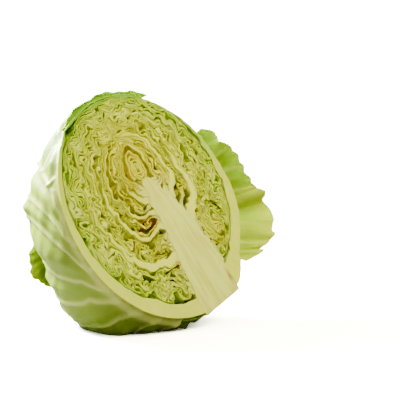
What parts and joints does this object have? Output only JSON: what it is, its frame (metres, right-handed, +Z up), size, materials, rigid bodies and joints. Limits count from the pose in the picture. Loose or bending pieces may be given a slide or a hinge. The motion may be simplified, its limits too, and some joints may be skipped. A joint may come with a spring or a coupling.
{
  "type": "cabbage half",
  "caption": "Half of a round cabbage head, cut through its stalk, lying on its rounded back with the layered cut face up.",
  "frame": {"origin": "middle of the bounding box at table height, under the head", "axes": "+Z up from the table, +X to the right and -Y towards the viewer who sees the cut face from its left"},
  "size_m": [0.21, 0.175, 0.1922],
  "materials": {
    "wrapper_green": "smooth waxy leaf, pale green",
    "rib_leaf": "juicy cream-green midrib and blade, satin where cut",
    "inner_leaf": "thin yellow-green blade, satin where cut",
    "heart_yellow": "tender yellow heart leaf",
    "core_cream": "dense cream stalk, damp satin cut",
    "loose_green": "vivid green ruffled blade",
    "loose_pale": "pale green ruffled blade",
    "stub_dark": "dark torn blade"
  },
  "bodies": {
    "root": {"core": "core_cream", "leaf_00": "wrapper_green", "leaf_01": "wrapper_green", "leaf_02": "inner_leaf", "leaf_03": "inner_leaf", "leaf_04": "inner_leaf", "leaf_05": "inner_leaf", "leaf_06": "inner_leaf", "leaf_07": "inner_leaf", "leaf_08": "inner_leaf", "leaf_09": "inner_leaf", "leaf_10": "rib_leaf", "leaf_11": "inner_leaf", "leaf_12": "inner_leaf", "leaf_13": "inner_leaf", "leaf_14": "inner_leaf", "leaf_15": "inner_leaf", "leaf_16": "rib_leaf", "leaf_17": "rib_leaf", "leaf_18": "inner_leaf", "leaf_19": "inner_leaf", "leaf_20": "rib_leaf", "leaf_21": "rib_leaf", "leaf_22": "heart_yellow", "leaf_23": "heart_yellow", "leaf_24": "rib_leaf", "leaf_25": "heart_yellow", "leaf_26": "heart_yellow", "leaf_27": "heart_yellow", "heart_bud": "heart_yellow", "ruffled_leaf_a": "loose_green", "ruffled_leaf_b": "loose_pale", "side_leaf": "loose_green", "crown_leaf": "loose_green", "leaf_stub": "stub_dark"}
  },
  "joints": []
}
